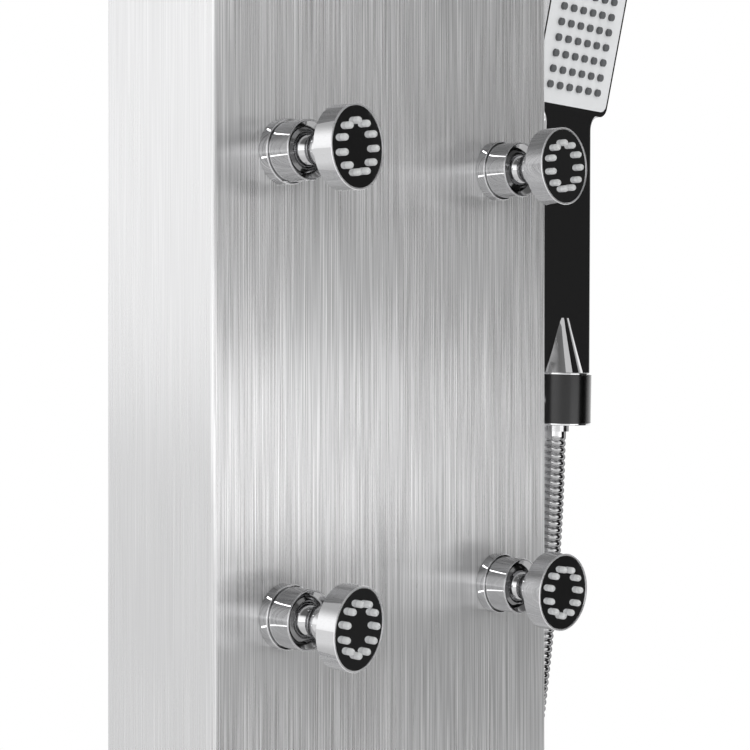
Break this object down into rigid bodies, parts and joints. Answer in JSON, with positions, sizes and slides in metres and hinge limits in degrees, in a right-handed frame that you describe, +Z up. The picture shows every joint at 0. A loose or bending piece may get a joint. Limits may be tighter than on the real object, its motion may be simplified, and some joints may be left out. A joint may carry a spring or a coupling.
{
  "type": "shower panel column",
  "caption": "Wall-hung brushed steel shower column with swivelling body jets, overhead shower, mixer, diverter and a hand shower on a ribbed hose.",
  "frame": {"origin": "centre of the four wall holes, on the wall's face", "axes": "+Z up along the column, +X to the right seen from the room, +Y into the wall"},
  "size_m": [0.3019, 0.46, 1.6224],
  "materials": {
    "brushed": "vertically brushed stainless steel",
    "chrome": "polished chrome",
    "zinc": "dull zinc plate",
    "brass": "machined",
    "rubber_black": "matt",
    "rubber_grey": "matt",
    "silicone": "translucent white",
    "plastic_grey": "satin",
    "plastic_white": "plain"
  },
  "bodies": {
    "column": {"panel_shell": "brushed", "top_cap": "brushed", "bottom_cap": "brushed", "wall_bracket_upper": "zinc", "wall_bracket_lower": "zinc", "hanger_rail_upper": "zinc", "hanger_rail_lower": "zinc", "panel_screws": "zinc", "jet_washers": "rubber_black", "jet_backnuts": "brass", "rain_arm": "chrome", "rain_arm_backnut": "brass", "mixer_body": "brass", "mixer_cartridge": "plastic_white", "mixer_cover": "chrome", "diverter_body": "brass", "diverter_cartridge": "plastic_white", "diverter_cover": "chrome", "link_pipe": "brass", "jet_manifold": "brass", "rain_pipe": "brass", "hose_pipe": "brass", "inlet_hot": "brass", "inlet_cold": "brass", "handset_holder": "chrome", "hose": "chrome", "hose_nut_outlet": "chrome", "hose_outlet": "chrome", "jet_body_upper_left": "chrome", "jet_body_upper_right": "chrome", "jet_body_lower_left": "chrome", "jet_body_lower_right": "chrome"},
    "handset": {"handset_shell": "chrome", "handset_face": "plastic_grey", "handset_nozzles": "rubber_grey", "hose_nut_handset": "chrome"},
    "rain_ring": {"rain_swivel_ring": "chrome"},
    "rain_head": {"rain_head": "chrome", "rain_face": "brushed", "rain_nozzles": "rubber_grey"},
    "mixer_spindle": {"mixer_spindle": "chrome"},
    "mixer_handle": {"mixer_handle": "chrome"},
    "diverter_knob": {"diverter_stem": "brass", "diverter_knob": "chrome"},
    "seat_upper_left": {"jet_seat_upper_left": "chrome"},
    "jet_upper_left": {"jet_head_upper_left": "chrome", "jet_face_upper_left": "chrome", "jet_nozzles_upper_left": "silicone"},
    "seat_upper_right": {"jet_seat_upper_right": "chrome"},
    "jet_upper_right": {"jet_head_upper_right": "chrome", "jet_face_upper_right": "chrome", "jet_nozzles_upper_right": "silicone"},
    "seat_lower_left": {"jet_seat_lower_left": "chrome"},
    "jet_lower_left": {"jet_head_lower_left": "chrome", "jet_face_lower_left": "chrome", "jet_nozzles_lower_left": "silicone"},
    "seat_lower_right": {"jet_seat_lower_right": "chrome"},
    "jet_lower_right": {"jet_head_lower_right": "chrome", "jet_face_lower_right": "chrome", "jet_nozzles_lower_right": "silicone"}
  },
  "joints": [
    {"name": "jet_upper_left_spin", "type": "hinge", "parent": "column", "child": "seat_upper_left", "pos_m": [-0.0705, -0.0855, 0.3], "axis": [0, -1, 0], "continuous": true},
    {"name": "jet_upper_left_tilt", "type": "hinge", "parent": "seat_upper_left", "child": "jet_upper_left", "pos_m": [-0.0705, -0.0855, 0.3], "axis": [0, 0, 1], "range_deg": [-22, 8]},
    {"name": "jet_upper_right_spin", "type": "hinge", "parent": "column", "child": "seat_upper_right", "pos_m": [0.0705, -0.0855, 0.3], "axis": [0, -1, 0], "continuous": true},
    {"name": "jet_upper_right_tilt", "type": "hinge", "parent": "seat_upper_right", "child": "jet_upper_right", "pos_m": [0.0705, -0.0855, 0.3], "axis": [-0.2983, 0, 0.9545], "range_deg": [-16.7, 13.3]},
    {"name": "jet_lower_left_spin", "type": "hinge", "parent": "column", "child": "seat_lower_left", "pos_m": [-0.0705, -0.0855, 0.101], "axis": [0, -1, 0], "continuous": true},
    {"name": "jet_lower_left_tilt", "type": "hinge", "parent": "seat_lower_left", "child": "jet_lower_left", "pos_m": [-0.0705, -0.0855, 0.101], "axis": [0.3115, 0, 0.9503], "range_deg": [-24.7, 5.3]},
    {"name": "jet_lower_right_spin", "type": "hinge", "parent": "column", "child": "seat_lower_right", "pos_m": [0.0705, -0.0855, 0.101], "axis": [0, -1, 0], "continuous": true},
    {"name": "jet_lower_right_tilt", "type": "hinge", "parent": "seat_lower_right", "child": "jet_lower_right", "pos_m": [0.0705, -0.0855, 0.101], "axis": [1, 0, 0], "range_deg": [-16, 14]},
    {"name": "rain_spin", "type": "hinge", "parent": "column", "child": "rain_ring", "pos_m": [0, -0.36, 0.545], "axis": [0, 0, 1], "continuous": true},
    {"name": "rain_tilt", "type": "hinge", "parent": "rain_ring", "child": "rain_head", "pos_m": [0, -0.36, 0.545], "axis": [1, 0, 0], "range_deg": [-12, 12]},
    {"name": "mixer_turn", "type": "hinge", "parent": "column", "child": "mixer_spindle", "pos_m": [0, -0.072, -0.26], "axis": [0, -1, 0], "range_deg": [-50, 50]},
    {"name": "mixer_lift", "type": "hinge", "parent": "mixer_spindle", "child": "mixer_handle", "pos_m": [0, -0.084, -0.26], "axis": [-1, 0, 0], "range_deg": [0, 25]},
    {"name": "diverter_turn", "type": "hinge", "parent": "column", "child": "diverter_knob", "pos_m": [0, -0.072, -0.1], "axis": [0, -1, 0], "range_deg": [0, 180]},
    {"name": "handset_lift", "type": "slide", "parent": "column", "child": "handset", "axis": [0.0314, 0, 0.9995], "range_m": [0, 0.06]}
  ]
}
